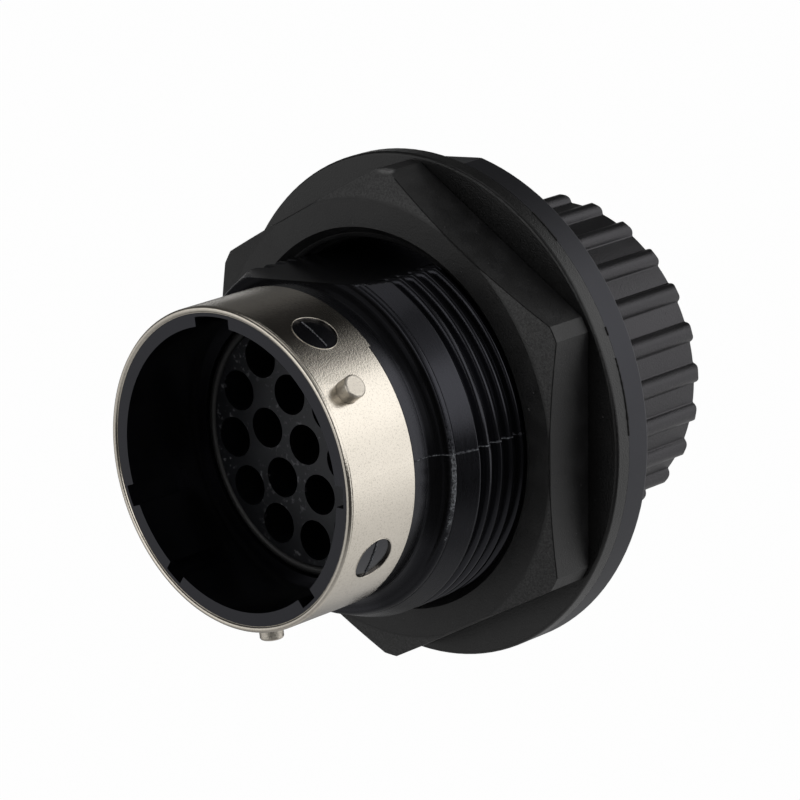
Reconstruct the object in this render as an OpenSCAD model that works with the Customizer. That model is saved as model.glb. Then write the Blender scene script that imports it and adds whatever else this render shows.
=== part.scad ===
// Panel-mount receptacle of a circular connector with a bayonet coupling.
// The axis runs along Y. The mating face lies at y = 0 and looks towards -Y, the main key is at +Z.
// Clock angles are seen from the mating side: 0 at +Z, 90 at +X.

/* [Mating barrel] */
// Outer radius of the plated coupling sleeve
sleeve_r = 12.8; // [12.3:0.1:16]
// Wall of the coupling sleeve
sleeve_wall = 0.5; // [0.3:0.05:0.7]
// Length of the coupling sleeve
sleeve_length = 7.2; // [6.2:0.1:10]
// Depth of the two wide notches in the sleeve's rear edge
notch_depth = 0.25; // [0.1:0.05:0.5]
// Wall of the moulded barrel inside the sleeve
barrel_wall = 1.03; // [0.9:0.01:1.4]
// Depth of the socket down to the insert's face
socket_depth = 8.25; // [6.5:0.05:12]
// Depth of the keyways in the socket wall
keyway_depth = 0.75; // [0.4:0.05:0.85]
// Length of the keyways
keyway_length = 5.6; // [4:0.1:7]
// Width of the main keyway
main_key_w = 3.6; // [2:0.1:5]
// Width of the other keyways
minor_key_w = 1.7; // [1:0.1:2.5]

/* [Bayonet pins and windows] */
// Radius of a bayonet pin
pin_r = 0.95; // [0.6:0.05:1.3]
// Height of a bayonet pin above the sleeve
pin_height = 1.2; // [0.8:0.05:2]
// Distance of the bayonet pins from the mating face
pin_setback = 2.45; // [1.8:0.05:3]
// Radius of the round windows in the sleeve
window_r = 1.83; // [1:0.05:2.2]
// Distance of the windows from the mating face
window_setback = 3.55; // [3:0.05:4.5]
// Depth of the bosses' faces below the outside of the sleeve
window_sink = 0.17; // [0:0.01:0.3]
// Height of the mould ridge across a boss
window_ridge = 0.07; // [0.02:0.01:0.15]

/* [Collar and panel thread] */
// Height of the sleeve above the collar behind it
collar_step = 0.2; // [0.05:0.05:0.4]
// Length of the collar
collar_length = 2.48; // [1.5:0.02:4]
// Radius of the hollow round between the collar and the barrel's front
collar_fillet = 1.1; // [0.3:0.1:1.5]
// Room between the tips of the bayonet pins and the root of the panel thread
pin_pass = 0.17; // [0.1:0.01:1.5]
// Depth of the panel thread
thread_depth = 0.7; // [0.4:0.05:0.9]
// Radius of the round front edge of the threaded barrel
lead_round = 0.45; // [0.2:0.05:0.6]
// Depth of the flat below the root of the thread
thread_flat_cut = 1.52; // [0.5:0.02:1.8]

/* [Flange and gasket] */
// Distance from the mating face to the face that meets the panel
panel_setback = 21.34; // [17.5:0.02:30]
// Flange and gasket beyond the corners of the jam nut
flange_rim = 0.5; // [0.2:0.1:4]
// Thickness of the flange
flange_t = 2.34; // [1.5:0.02:4]
// Depth of the flat on the flange
flange_flat_cut = 1; // [0.5:0.1:2]
// Thickness of the gasket
gasket_t = 1.4; // [0.8:0.1:2.5]

/* [Jam nut] */
// Wall of the nut between its bore and its flats
nut_wall = 2.77; // [2:0.01:5]
// Thickness of the nut
nut_t = 4.56; // [3:0.02:6]
// Amount by which the corners are turned down
nut_corner_trim = 0.36; // [0.1:0.02:0.8]
// Setback of the corners by the conical chamfer
nut_corner_setback = 0.85; // [0.3:0.05:1.5]
// Bevel along the front edges of the flats
nut_edge_bevel = 0.12; // [0.05:0.01:0.3]
// Clock angle of one corner
nut_clock = 7; // [0:1:59]

/* [Contact insert] */
// Radius of a contact pocket at the face
pocket_r = 1.62; // [1:0.02:1.8]
// Pitch circle radius of the inner pockets
inner_ring_r = 4.05; // [3.8:0.05:4.1]
// Wall between the outer pockets and the side of the insert's front boss
pocket_edge = 0.45; // [0.3:0.05:0.6]
// Ledge between the front boss and the socket wall
seal_land = 1.5; // [1.2:0.05:1.6]
// Radius of the round section of the mating seal
bead_r = 0.45; // [0.3:0.05:0.5]
// Length of the insert
insert_length = 15.2; // [12.6:0.1:20]
// Shoulder between the front boss and the body of the insert
insert_shoulder = 0.55; // [0.4:0.05:0.8]
// Depth of a pocket's front stretch
pocket_depth = 8; // [5:0.5:9]

/* [Rear end] */
// Wall of the rear spigot at the root of its thread
spigot_wall = 1.07; // [0.8:0.01:1.6]
// Depth of the rear thread
rear_thread_depth = 0.6; // [0.3:0.05:0.7]
// Length of the wire seal
wire_seal_length = 10.8; // [8.5:0.1:15]
// Radius of a wire hole in the wire seal
wire_hole_r = 1; // [0.9:0.05:1.3]
// Thickness of the seal follower
follower_t = 2; // [1.2:0.1:3]
// Thickness of the rear nut's end wall
rear_lip_t = 2.7; // [1.5:0.1:4]
// Ledge of the follower inside the wire entry
entry_ledge = 0.55; // [0.2:0.05:1]
// Wall of the rear nut between its bore and its valleys
rear_nut_wall = 0.85; // [0.6:0.05:2]
// Height of the ribs
rib_height = 0.66; // [0.3:0.05:0.8]
// Radius of a rib's round back
rib_r = 0.85; // [0.4:0.05:1]
// Radius of the hollow round at a rib's foot
rib_fillet = 0.25; // [0.1:0.05:0.35]
// Number of ribs
rib_count = 24; // [12:1:30]
// Clock angle of one rib
rear_nut_clock = 3.1; // [0:0.1:15]

/* [Hidden] */
$fn = 96;

// Clearances
press_fit = 0.02;
slip_fit = 0.05;
thread_fit = 0.08;
follower_play = 0.3;
wire_room = 0.07;
overcut = 1;

// Keying, pins and windows by clock angle
keyway_clocks = [95, 144, 220, 255];
pin_clocks = [60, 180, 300];
window_clocks = [35, 122, 238, 325];
notch_clocks = [96, 264];
notch_angle = 98;
notch_play_angle = 1;

// Radii from the sleeve inwards
barrel_r = sleeve_r - sleeve_wall - press_fit;
socket_r = barrel_r - barrel_wall;
keyway_r = socket_r + keyway_depth;
pin_seat_wall = 0.3;
pin_seat_r = socket_r + pin_seat_wall;
boss_r = socket_r - seal_land;
seal_groove_r = boss_r + 2 * bead_r + 2 * slip_fit;
outer_ring_r = boss_r - pocket_edge - pocket_r;
rear_bore_r = boss_r + insert_shoulder;

// Radii from the sleeve outwards
collar_r = sleeve_r - collar_step;
pin_tip_r = sleeve_r + pin_height;
thread_root_r = pin_tip_r + pin_pass;
thread_r = thread_root_r + thread_depth;
thread_flat = thread_root_r - thread_flat_cut;
nut_bore_r = thread_r + thread_fit;
nut_flat_r = nut_bore_r + nut_wall;
nut_corner_r = nut_flat_r / cos(30) - nut_corner_trim;
flange_r = nut_corner_r + flange_rim;
flange_flat = flange_r - flange_flat_cut;

// Radii of the rear end
ring_groove_depth = 0.65;
ring_width = 1.35;
insert_key_w = 2;
insert_key_h = 0.45;
spigot_root_r = rear_bore_r + spigot_wall;
rear_thread_r = spigot_root_r + rear_thread_depth;
rear_nut_bore_r = rear_thread_r + thread_fit;
rib_valley_r = rear_nut_bore_r + rear_nut_wall;
rib_tip_r = rib_valley_r + rib_height;
follower_bore_r = outer_ring_r + wire_hole_r + wire_room;
wire_entry_r = follower_bore_r + entry_ledge;

// Stations along the axis
edge_round = 0.25;
collar_round = min(collar_fillet, thread_root_r - lead_round - collar_r, collar_length - edge_round);
collar_y = sleeve_length + press_fit;
shoulder_y = collar_y + collar_length;
thread_y = shoulder_y + lead_round;
flange_y = panel_setback + gasket_t;
flange_back_y = flange_y + flange_t;
ledge_drop = 0.1;
ledge_t = 1.45;
ledge_y = socket_depth - ledge_drop;
seal_floor_y = socket_depth + 2 * bead_r;
ledge_back_y = seal_floor_y + ledge_t;
insert_body_y = ledge_back_y + slip_fit;
insert_back_y = socket_depth + insert_length;
ring_t = 1.05;
ring_y = insert_back_y + slip_fit;
ring_back_y = ring_y + ring_t;
wire_seal_y = ring_back_y + slip_fit;
wire_seal_back_y = wire_seal_y + wire_seal_length;
wire_seal_stand = 0.8;
spigot_back_y = wire_seal_back_y - wire_seal_stand;
follower_y = wire_seal_back_y + slip_fit;
follower_back_y = follower_y + follower_t;
rear_lip_y = follower_back_y + slip_fit;
rear_nut_back_y = rear_lip_y + rear_lip_t;
rear_nut_gap = 1.5;
rear_nut_y = flange_back_y + rear_nut_gap;

// Stretches of a pocket behind its front stretch, and the web of a wire hole
pocket_step = 0.45;
pocket_neck_r = pocket_r - pocket_step;
pocket_neck_length = 3.6;
pocket_rear_r = pocket_r - pocket_step / 4;
wire_web_r = wire_hole_r - 0.25;

// Pockets as [radius, clock angle]: one in the middle, then two rings
pocket_places = concat(
    [[0, 0]],
    [for (i = [0:5]) [inner_ring_r, 60 * i - 15]],
    [for (i = [0:11]) [outer_ring_r, 30 * i]]
);

shell_black = "#1c1d21";
nut_black = "#191a1b";
rubber_black = "#131313";
insert_black = "#1a1b1d";
nickel = "#c9c4b8";
spring_steel = "#8d9094";

// Solid of revolution about the Y axis from [radius, y] points
module lathe(points) {
    rotate([-90, 0, 0]) rotate_extrude() polygon(points);
}

// Plain round bar on the Y axis
module bar(r, from_y, to_y) {
    translate([0, from_y, 0]) rotate([-90, 0, 0]) cylinder(r = r, h = to_y - from_y);
}

// Ring of rectangular section
module ring(inner_r, outer_r, from_y, to_y) {
    lathe([[inner_r, from_y], [outer_r, from_y], [outer_r, to_y], [inner_r, to_y]]);
}

// Turns what is built at +Z to a clock angle
module at_clock(angle) {
    rotate([0, angle, 0]) children();
}

// Places children on the axis of one pocket
module at_pocket(place) {
    at_clock(place[1]) translate([0, 0, place[0]]) children();
}

// Sector of a ring, centred on a clock angle
module ring_sector(inner_r, outer_r, from_y, to_y, clock, angle) {
    at_clock(clock) rotate([-90, 0, 0]) rotate([0, 0, -90 - angle / 2])
        rotate_extrude(angle = angle)
            polygon([[inner_r, from_y], [outer_r, from_y], [outer_r, to_y], [inner_r, to_y]]);
}

// Points of a rounded corner in [radius, y]
function round_points(centre, r, from, to, steps = 5) =
    [for (i = [0:steps]) let (a = from + (to - from) * i / steps) centre + r * [cos(a), sin(a)]];

// The shell's section: outside from front to rear, then inside from rear to front
function shell_section() = concat(
    [[socket_r, 0], [barrel_r, 0], [barrel_r, collar_y], [collar_r, collar_y]],
    round_points([collar_r + collar_round, shoulder_y - collar_round], collar_round, 180, 90, 10),
    round_points([thread_root_r - lead_round, thread_y], lead_round, -90, 0, 8),
    [[thread_root_r, flange_y], [flange_r, flange_y]],
    round_points([flange_r - edge_round, flange_back_y - edge_round], edge_round, 0, 90),
    [[spigot_root_r, flange_back_y], [spigot_root_r, spigot_back_y - edge_round],
     [spigot_root_r - edge_round, spigot_back_y], [rear_bore_r + edge_round, spigot_back_y],
     [rear_bore_r, spigot_back_y - edge_round]],
    [[rear_bore_r, ring_back_y + slip_fit / 2], [rear_bore_r + ring_groove_depth, ring_back_y + slip_fit / 2],
     [rear_bore_r + ring_groove_depth, ring_y - slip_fit / 2], [rear_bore_r, ring_y - slip_fit / 2]],
    [[rear_bore_r, ledge_back_y], [boss_r + slip_fit, ledge_back_y], [boss_r + slip_fit, seal_floor_y],
     [seal_groove_r, seal_floor_y], [seal_groove_r, ledge_y], [socket_r, ledge_y]]
);

// Keyway with a round floor
module keyway(width, clock) {
    intersection() {
        bar(keyway_r, -overcut, keyway_length);
        at_clock(clock) translate([-width / 2, -overcut, socket_r - overcut])
            cube([width, keyway_length + 2 * overcut, keyway_depth + 2 * overcut]);
    }
}

// Round boss that fills a window of the sleeve, sunk a little, with a ridge across its face
module window_boss(clock) {
    root_r = barrel_r - overcut / 5;
    face_r = sleeve_r - window_sink;
    intersection() {
        lathe([[root_r, 0], [face_r, 0], [face_r, window_setback - window_ridge],
               [face_r + window_ridge, window_setback], [face_r, window_setback + window_ridge],
               [face_r, sleeve_length], [root_r, sleeve_length]]);
        at_clock(clock) translate([0, window_setback, barrel_r - overcut])
            cylinder(r = window_r - press_fit, h = sleeve_r);
    }
}

module shell() {
    color(shell_black) difference() {
        union() {
            lathe(shell_section());
            for (clock = window_clocks) window_boss(clock);
            for (clock = notch_clocks)
                ring_sector(barrel_r - overcut / 5, collar_r - press_fit, collar_y - notch_depth,
                            collar_y + overcut / 2, clock, notch_angle - notch_play_angle);
        }
        keyway(main_key_w, 0);
        for (clock = keyway_clocks) keyway(minor_key_w, clock);
        for (clock = pin_clocks)
            at_clock(clock) translate([0, pin_setback, pin_seat_r])
                cylinder(r = pin_r + press_fit, h = sleeve_r);
        translate([-thread_r, shoulder_y - collar_round, thread_flat])
            cube([2 * thread_r, flange_y - shoulder_y + collar_round, thread_r]);
        translate([-flange_r, flange_y - overcut / 2, flange_flat])
            cube([2 * flange_r, flange_t + overcut, flange_r]);
        translate([-insert_key_w / 2 - slip_fit, ledge_back_y + slip_fit / 2, rear_bore_r - overcut])
            cube([insert_key_w + 2 * slip_fit, spigot_back_y, overcut + insert_key_h + slip_fit]);
    }
}

module coupling_sleeve() {
    inner_r = sleeve_r - sleeve_wall;
    color(nickel) difference() {
        lathe(concat(
            [[inner_r, 0]],
            round_points([sleeve_r - edge_round, edge_round], edge_round, -90, 0),
            [[sleeve_r, sleeve_length], [inner_r, sleeve_length]]
        ));
        for (clock = window_clocks)
            at_clock(clock) translate([0, window_setback, 0]) cylinder(r = window_r, h = 2 * sleeve_r);
        for (clock = pin_clocks)
            at_clock(clock) translate([0, pin_setback, 0]) cylinder(r = pin_r + press_fit, h = 2 * sleeve_r);
        for (clock = notch_clocks)
            ring_sector(inner_r - overcut, sleeve_r + overcut, sleeve_length - notch_depth,
                        sleeve_length + overcut, clock, notch_angle);
    }
}

// Stud pressed through the sleeve into the shell's wall
module bayonet_pin(clock) {
    tip_round = 0.2;
    color(nickel) at_clock(clock) translate([0, pin_setback, 0]) rotate_extrude()
        polygon(concat(
            [[0, pin_seat_r + press_fit], [pin_r, pin_seat_r + press_fit]],
            round_points([pin_r - tip_round, pin_tip_r - tip_round], tip_round, 0, 90),
            [[0, pin_tip_r]]
        ));
}

module bayonet_pin_1() { bayonet_pin(pin_clocks[0]); }
module bayonet_pin_2() { bayonet_pin(pin_clocks[1]); }
module bayonet_pin_3() { bayonet_pin(pin_clocks[2]); }

// Stepped hole of one contact: wide at the face, a neck, then the clip's seat
module pocket() {
    neck_y = socket_depth + pocket_depth;
    seat_y = neck_y + pocket_neck_length;
    bar(pocket_r, socket_depth - overcut, neck_y);
    bar(pocket_neck_r, neck_y - overcut, seat_y + overcut);
    bar(pocket_rear_r, seat_y, insert_back_y + overcut);
}

module contact_insert() {
    body_r = rear_bore_r - slip_fit;
    color(insert_black) difference() {
        union() {
            lathe([[0, socket_depth], [boss_r, socket_depth], [boss_r, insert_body_y],
                   [body_r, insert_body_y], [body_r, insert_back_y], [0, insert_back_y]]);
            translate([-insert_key_w / 2, insert_body_y, body_r - overcut])
                cube([insert_key_w, insert_back_y - insert_body_y, insert_key_h + overcut]);
        }
        for (place = pocket_places) at_pocket(place) pocket();
    }
}

module mating_seal() {
    color(rubber_black) rotate([-90, 0, 0]) rotate_extrude()
        translate([boss_r + slip_fit + bead_r, seal_floor_y - bead_r]) circle(r = bead_r);
}

module retaining_ring() {
    outer_r = rear_bore_r + ring_groove_depth - slip_fit;
    split_w = 3;
    color(spring_steel) difference() {
        ring(outer_r - ring_width, outer_r, ring_y, ring_back_y);
        translate([-split_w / 2, ring_y - overcut, -outer_r - overcut])
            cube([split_w, ring_t + 2 * overcut, ring_width + 2 * overcut]);
    }
}

// Hole for one wire, with a narrow web in the middle that grips the wire
module wire_hole() {
    third = wire_seal_length / 3;
    bar(wire_hole_r, wire_seal_y - overcut, wire_seal_y + third);
    bar(wire_web_r, wire_seal_y + third - overcut, wire_seal_back_y - third + overcut);
    bar(wire_hole_r, wire_seal_back_y - third, wire_seal_back_y + overcut);
}

module wire_seal() {
    color(rubber_black) difference() {
        bar(rear_bore_r - 2 * slip_fit, wire_seal_y, wire_seal_back_y);
        for (place = pocket_places) at_pocket(place) wire_hole();
    }
}

module seal_follower() {
    outer_r = rear_nut_bore_r - follower_play;
    color(insert_black)
        lathe([[follower_bore_r, follower_y], [outer_r, follower_y], [outer_r, follower_back_y],
               [follower_bore_r + edge_round, follower_back_y], [follower_bore_r, follower_back_y - edge_round]]);
}

// Round back of one rib with a hollow round on both sides of its foot
module rib_outline() {
    back_x = rib_tip_r - rib_r;
    to_foot = rib_valley_r + rib_fillet;
    to_back = rib_r + rib_fillet;
    foot_x = (to_foot ^ 2 - to_back ^ 2 + back_x ^ 2) / (2 * back_x);
    foot_y = sqrt(to_foot ^ 2 - foot_x ^ 2);
    translate([back_x, 0]) circle(r = rib_r);
    difference() {
        polygon([[back_x - rib_r, -foot_y], [foot_x, -foot_y], [foot_x, foot_y], [back_x - rib_r, foot_y]]);
        for (side = [-1, 1]) translate([foot_x, side * foot_y]) circle(r = rib_fillet + press_fit);
    }
}

module rear_nut() {
    end_round = 0.35;
    front_chamfer = 0.4;
    color(nut_black) difference() {
        intersection() {
            at_clock(rear_nut_clock) translate([0, rear_nut_y, 0]) rotate([-90, -90, 0])
                linear_extrude(rear_nut_back_y - rear_nut_y) {
                    circle(r = rib_valley_r);
                    for (i = [0:rib_count - 1]) rotate(i * 360 / rib_count) rib_outline();
                }
            lathe(concat(
                [[0, rear_nut_y], [rib_tip_r - front_chamfer, rear_nut_y], [rib_tip_r, rear_nut_y + front_chamfer]],
                round_points([rib_tip_r - end_round, rear_nut_back_y - end_round], end_round, 0, 90),
                [[0, rear_nut_back_y]]
            ));
        }
        bar(rear_nut_bore_r, rear_nut_y - overcut, rear_lip_y);
        bar(wire_entry_r, rear_lip_y - overcut, rear_nut_back_y + overcut);
    }
}

// Hexagon with the front edges of its flats bevelled, front face at z = 0
module hexagon_block() {
    hex_r = nut_flat_r / cos(30);
    difference() {
        cylinder(r = hex_r, h = nut_t, $fn = 6);
        for (i = [0:5]) rotate(30 + 60 * i) translate([nut_flat_r - nut_edge_bevel, -hex_r, 0])
            rotate([0, -45, 0]) translate([0, 0, -nut_t]) cube([nut_t, 2 * hex_r, nut_t]);
    }
}

module jam_nut() {
    bore_chamfer = 0.55;
    back_y = panel_setback - slip_fit;
    front_y = back_y - nut_t;
    color(nut_black) difference() {
        intersection() {
            at_clock(nut_clock - 30) translate([0, front_y, 0]) rotate([-90, 0, 0]) hexagon_block();
            lathe([[0, front_y], [nut_flat_r, front_y], [nut_corner_r, front_y + nut_corner_setback],
                   [nut_corner_r, back_y], [0, back_y]]);
        }
        bar(nut_bore_r, front_y - overcut, back_y + overcut);
        lathe([[0, front_y - overcut], [nut_bore_r + bore_chamfer + overcut, front_y - overcut],
               [nut_bore_r, front_y + bore_chamfer], [0, front_y + bore_chamfer]]);
    }
}

module panel_gasket() {
    inner_r = thread_root_r + slip_fit;
    back_y = flange_y - press_fit;
    color(rubber_black) lathe(concat(
        [[inner_r, panel_setback]],
        round_points([flange_r - edge_round, panel_setback + edge_round], edge_round, -90, 0),
        [[flange_r, back_y], [inner_r, back_y]]
    ));
}

shell();
coupling_sleeve();
bayonet_pin_1();
bayonet_pin_2();
bayonet_pin_3();
contact_insert();
mating_seal();
retaining_ring();
wire_seal();
seal_follower();
rear_nut();
jam_nut();
panel_gasket();
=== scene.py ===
import math

import bmesh
import bpy
from mathutils import Matrix, Vector


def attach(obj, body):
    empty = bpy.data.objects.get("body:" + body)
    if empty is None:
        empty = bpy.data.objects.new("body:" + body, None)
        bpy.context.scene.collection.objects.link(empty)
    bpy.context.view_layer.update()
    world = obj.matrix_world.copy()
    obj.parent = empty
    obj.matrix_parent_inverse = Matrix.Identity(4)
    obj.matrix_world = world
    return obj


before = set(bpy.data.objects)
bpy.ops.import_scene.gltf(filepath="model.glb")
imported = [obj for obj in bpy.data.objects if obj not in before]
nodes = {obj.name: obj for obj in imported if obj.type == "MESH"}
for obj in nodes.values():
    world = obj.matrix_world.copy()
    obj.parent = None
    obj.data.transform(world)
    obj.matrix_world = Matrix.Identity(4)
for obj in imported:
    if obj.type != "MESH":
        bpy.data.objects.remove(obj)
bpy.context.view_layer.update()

# Lengths are in millimetres, as in the part's source, and clock angles in degrees from +Z towards +X
MM = 0.001
RAD = math.pi / 180

# Collar and barrel of the shell
COLLAR_R = 12.6
COLLAR_ROUND = 1.1
BARREL_FRONT = 9.7
LEAD_ROUND = 0.45
PANEL_FLAT = 12.65
PARTING_CLOCKS = (90, 270)

# Panel thread of the shell
PANEL_PITCH = 1.305
PANEL_ROOT = 14.17
PANEL_CREST = 14.87
PANEL_FIRST_CREST = 11.495
PANEL_THREAD_FRONT = 10.15
PANEL_THREAD_BACK = 21.3
PANEL_RUN_IN = 1.85
MOULD_OFFSET = 0.09

# Thread of the jam nut
NUT_BORE = 14.95
NUT_CREST = 14.3
NUT_THREAD_FRONT = 17.33
NUT_THREAD_BACK = 21.26

# Front edge of the jam nut, and the nick in it
NUT_FRONT = 16.73
NUT_FLAT = 17.72
NUT_CORNER = 20.1
NUT_SETBACK = 0.85
NUT_CHAMFER = (NUT_CORNER - NUT_FLAT) / NUT_SETBACK
NUT_CORNER_CLOCK = 7
NICK_SPOT = (2.9, 17.6, 19.9)
NICK_SHAPE = (0.4, 0.6, 1.6)

# Rear thread of the shell and its mate in the rear nut
REAR_PITCH = 1.5
REAR_ROOT = 11.37
REAR_CREST = 11.97
REAR_FIRST_CREST = 26.2
REAR_THREAD_FRONT = 25.3
REAR_THREAD_BACK = 34.2
REAR_RUN_IN = 0.7
REAR_NUT_BORE = 12.05
REAR_NUT_CREST = 11.49
REAR_NUT_THREAD_FRONT = 26.9
REAR_NUT_THREAD_BACK = 34.9

# Front edge and windows of the sleeve
SLEEVE_R = 12.8
SLEEVE_WALL = 0.5
LIP_Y = 0.1
WINDOW_R = 1.83
WINDOW_Y = 3.55
WINDOW_CLOCKS = (35, 122, 238, 325)

# Seam between the gasket and the flange, and the clock angles where it gapes
SEAM_R = 20.57
SEAM_Y = 22.73
SEAM_GAPS = ((39, 47.5), (69, 71), (76, 93))


class Wire:
    """One output socket. Arithmetic on it adds Math nodes to its board."""

    def __init__(self, board, socket):
        self.board = board
        self.socket = socket

    def out(self, key):
        """Another output of the same node."""
        return self.board.output(self.socket.node, key)

    def __add__(self, other):
        return self.board.math("ADD", self, other)

    def __radd__(self, other):
        return self.board.math("ADD", other, self)

    def __sub__(self, other):
        return self.board.math("SUBTRACT", self, other)

    def __rsub__(self, other):
        return self.board.math("SUBTRACT", other, self)

    def __mul__(self, other):
        return self.board.math("MULTIPLY", self, other)

    def __rmul__(self, other):
        return self.board.math("MULTIPLY", other, self)

    def __truediv__(self, other):
        return self.board.math("DIVIDE", self, other)

    def __rtruediv__(self, other):
        return self.board.math("DIVIDE", other, self)

    def __lt__(self, other):
        return self.board.math("LESS_THAN", self, other)

    def __gt__(self, other):
        return self.board.math("GREATER_THAN", self, other)

    def __abs__(self):
        return self.board.math("ABSOLUTE", self)


def pick(sockets, key):
    """A socket by its place, name or identifier, passing over those that are switched off."""
    live = [s for s in sockets if s.enabled]
    if isinstance(key, int):
        return live[key]
    return next(s for s in live if key in (s.name, s.identifier))


class Board:
    """A node tree that is being wired up."""

    def __init__(self, tree):
        self.tree = tree

    def node(self, kind, settings=None, sockets=None):
        """Any node: its type, its settings, then the values or links of its sockets."""
        made = self.tree.nodes.new(kind)
        for name, value in (settings or {}).items():
            setattr(made, name, value)
        for key, value in (sockets or {}).items():
            socket = pick(made.inputs, key)
            if isinstance(value, Wire):
                self.tree.links.new(value.socket, socket)
            else:
                socket.default_value = value
        return self.output(made, 0) if len(made.outputs) else None

    def output(self, made, key):
        return Wire(self, pick(made.outputs, key))

    def math(self, operation, *values):
        return self.node("ShaderNodeMath", {"operation": operation}, dict(enumerate(values)))

    def highest(self, first, *others):
        for other in others:
            first = self.math("MAXIMUM", first, other)
        return first

    def lowest(self, first, *others):
        for other in others:
            first = self.math("MINIMUM", first, other)
        return first

    def clamped(self, value):
        """The value kept between 0 and 1."""
        return self.lowest(self.highest(value, 0.0), 1.0)

    def fade(self, value, start, end):
        """Smooth step from 0 at start to 1 at end, either way round."""
        rise = self.node("ShaderNodeMapRange", {"interpolation_type": "SMOOTHSTEP"},
                         {"Value": value, "From Min": min(start, end), "From Max": max(start, end)})
        return rise if start < end else 1 - rise

    def band(self, value, middle, half, soft):
        """1 within half of the middle, falling to 0 over soft."""
        return self.fade(abs(value - middle), half + soft, half)

    def tint(self, factor, first, second):
        """A colour between two others."""
        return self.node("ShaderNodeMix", {"data_type": "RGBA"},
                         {"Factor": factor, "A": first, "B": second})

    def noise(self, place, scale, detail=2.0, roughness=0.5):
        return self.node("ShaderNodeTexNoise", {},
                         {"Vector": place, "Scale": scale, "Detail": detail, "Roughness": roughness})

    def stretched(self, place, factors):
        return self.node("ShaderNodeVectorMath", {"operation": "MULTIPLY"}, {0: place, 1: factors})

    def in_mm(self, place):
        return self.node("ShaderNodeVectorMath", {"operation": "SCALE"}, {0: place, "Scale": 1 / MM})

    def split(self, place):
        parts = self.node("ShaderNodeSeparateXYZ", {}, {0: place})
        return parts.out("X"), parts.out("Y"), parts.out("Z")


# Colours of the finishes, linear
WHITE = (1, 1, 1, 1)
BLACK = (0, 0, 0, 1)
# Colour of the painted shade mixed into the shell's recess and the collar's low sides
PAINTED_SHADE_COLOUR = (0.006, 0.006, 0.0065, 1)
SHELL_DEEP = (0.0026, 0.0027, 0.0032, 1)
SHELL_PALE = (0.0052, 0.0054, 0.0064, 1)
SHELL_FLANGE = (0.0105, 0.0105, 0.0115, 1)
SHELL_WHITENED = (0.11, 0.115, 0.125, 1)
SHELL_SHEEN = (0.86, 0.87, 1, 1)
NUT_DEEP = (0.0045, 0.0045, 0.0047, 1)
NUT_PALE = (0.0085, 0.0085, 0.0089, 1)
NUT_SCUFF = (0.016, 0.016, 0.0165, 1)
# Grey of the painted highlight along the jam nut's chamfer edge
NUT_HIGHLIGHT = (0.06, 0.06, 0.06, 1)
NUT_SPECK = (0.12, 0.12, 0.12, 1)
NUT_NICK = (0.2, 0.2, 0.2, 1)
REAR_NUT_SHEEN = (0.96, 0.93, 1, 1)
INSERT_DEEP = (0.004, 0.0045, 0.0055, 1)
INSERT_PALE = (0.01, 0.0115, 0.014, 1)
INSERT_DUST = (0.2, 0.2, 0.215, 1)
INSERT_SHEEN = (0.94, 0.95, 1, 1)
GASKET_BLACK = (0.0035, 0.0035, 0.0035)
SEAL_BLACK = (0.014, 0.014, 0.014)
# Near-black of the beads that paint shade in the gasket's gaps and along the nut's edge
SEAM_BLACK = (0.001, 0.001, 0.001)
RUBBER_CRUMB = (0.16, 0.16, 0.16, 1)
RUBBER_MOTTLE = 1.7
NICKEL_PALE = (0.88, 0.815, 0.715, 1)
NICKEL_DEEP = (0.83, 0.77, 0.67, 1)
NICKEL_STAIN = (0.62, 0.56, 0.47, 1)
NICKEL_PIT = (0.5, 0.46, 0.4, 1)
TORN_DEEP = (0.02, 0.021, 0.024, 1)
TORN_WHITE = (0.3, 0.315, 0.34, 1)
STEEL_DEEP = (0.42, 0.42, 0.43, 1)
STEEL_PALE = (0.56, 0.56, 0.57, 1)

# Refraction of the black plastics and rubbers, and of torn plastic
BLACK_IOR = 1.58
TORN_IOR = 1.5

# Places on the shell where a mark starts and where it is full
OUTSIDE_R = (12.4, 12.55)
HANDLED_FRONT = (7, 7.3)
HANDLED_BACK = (13, 11.8)
HANDLED_TOP = (12.62, 12.5)
PARTING_FRONT = (7.1, 7.25)
PARTING_BACK = (18, 17)
NECK_SLOPE = (8.7, 10.1)
FLANGE_R = (15.5, 16.5)
# The recess bounds below mark where painted shade is mixed in at the neck
RECESS_FRONT = (8.5, 8.95)
RECESS_BACK = (9.82, 9.72)
RECESS_INNER = (12.5, 12.6)
RECESS_OUTER = (14.0, 13.85)
RECESS_CLOCK = (138, 112)

# Middles of other marks on the shell
TORN_Y = 9.92
TORN_CLOCK = 100
FLAT_EDGE_Y = 9.5
# LOW_CLOCK is the middle of the painted shade on the collar's low side
LOW_CLOCK = 138

# Places on the jam nut and the insert where a mark starts and where it is full
# Where the painted highlight on the jam nut's chamfer edge fades in
NUT_HIGHLIGHT_X = (-12, -6)
NUT_HIGHLIGHT_Y = (NUT_FRONT, NUT_FRONT + 0.1)
INSERT_FACE_Y = (8.6, 8.4)


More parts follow.
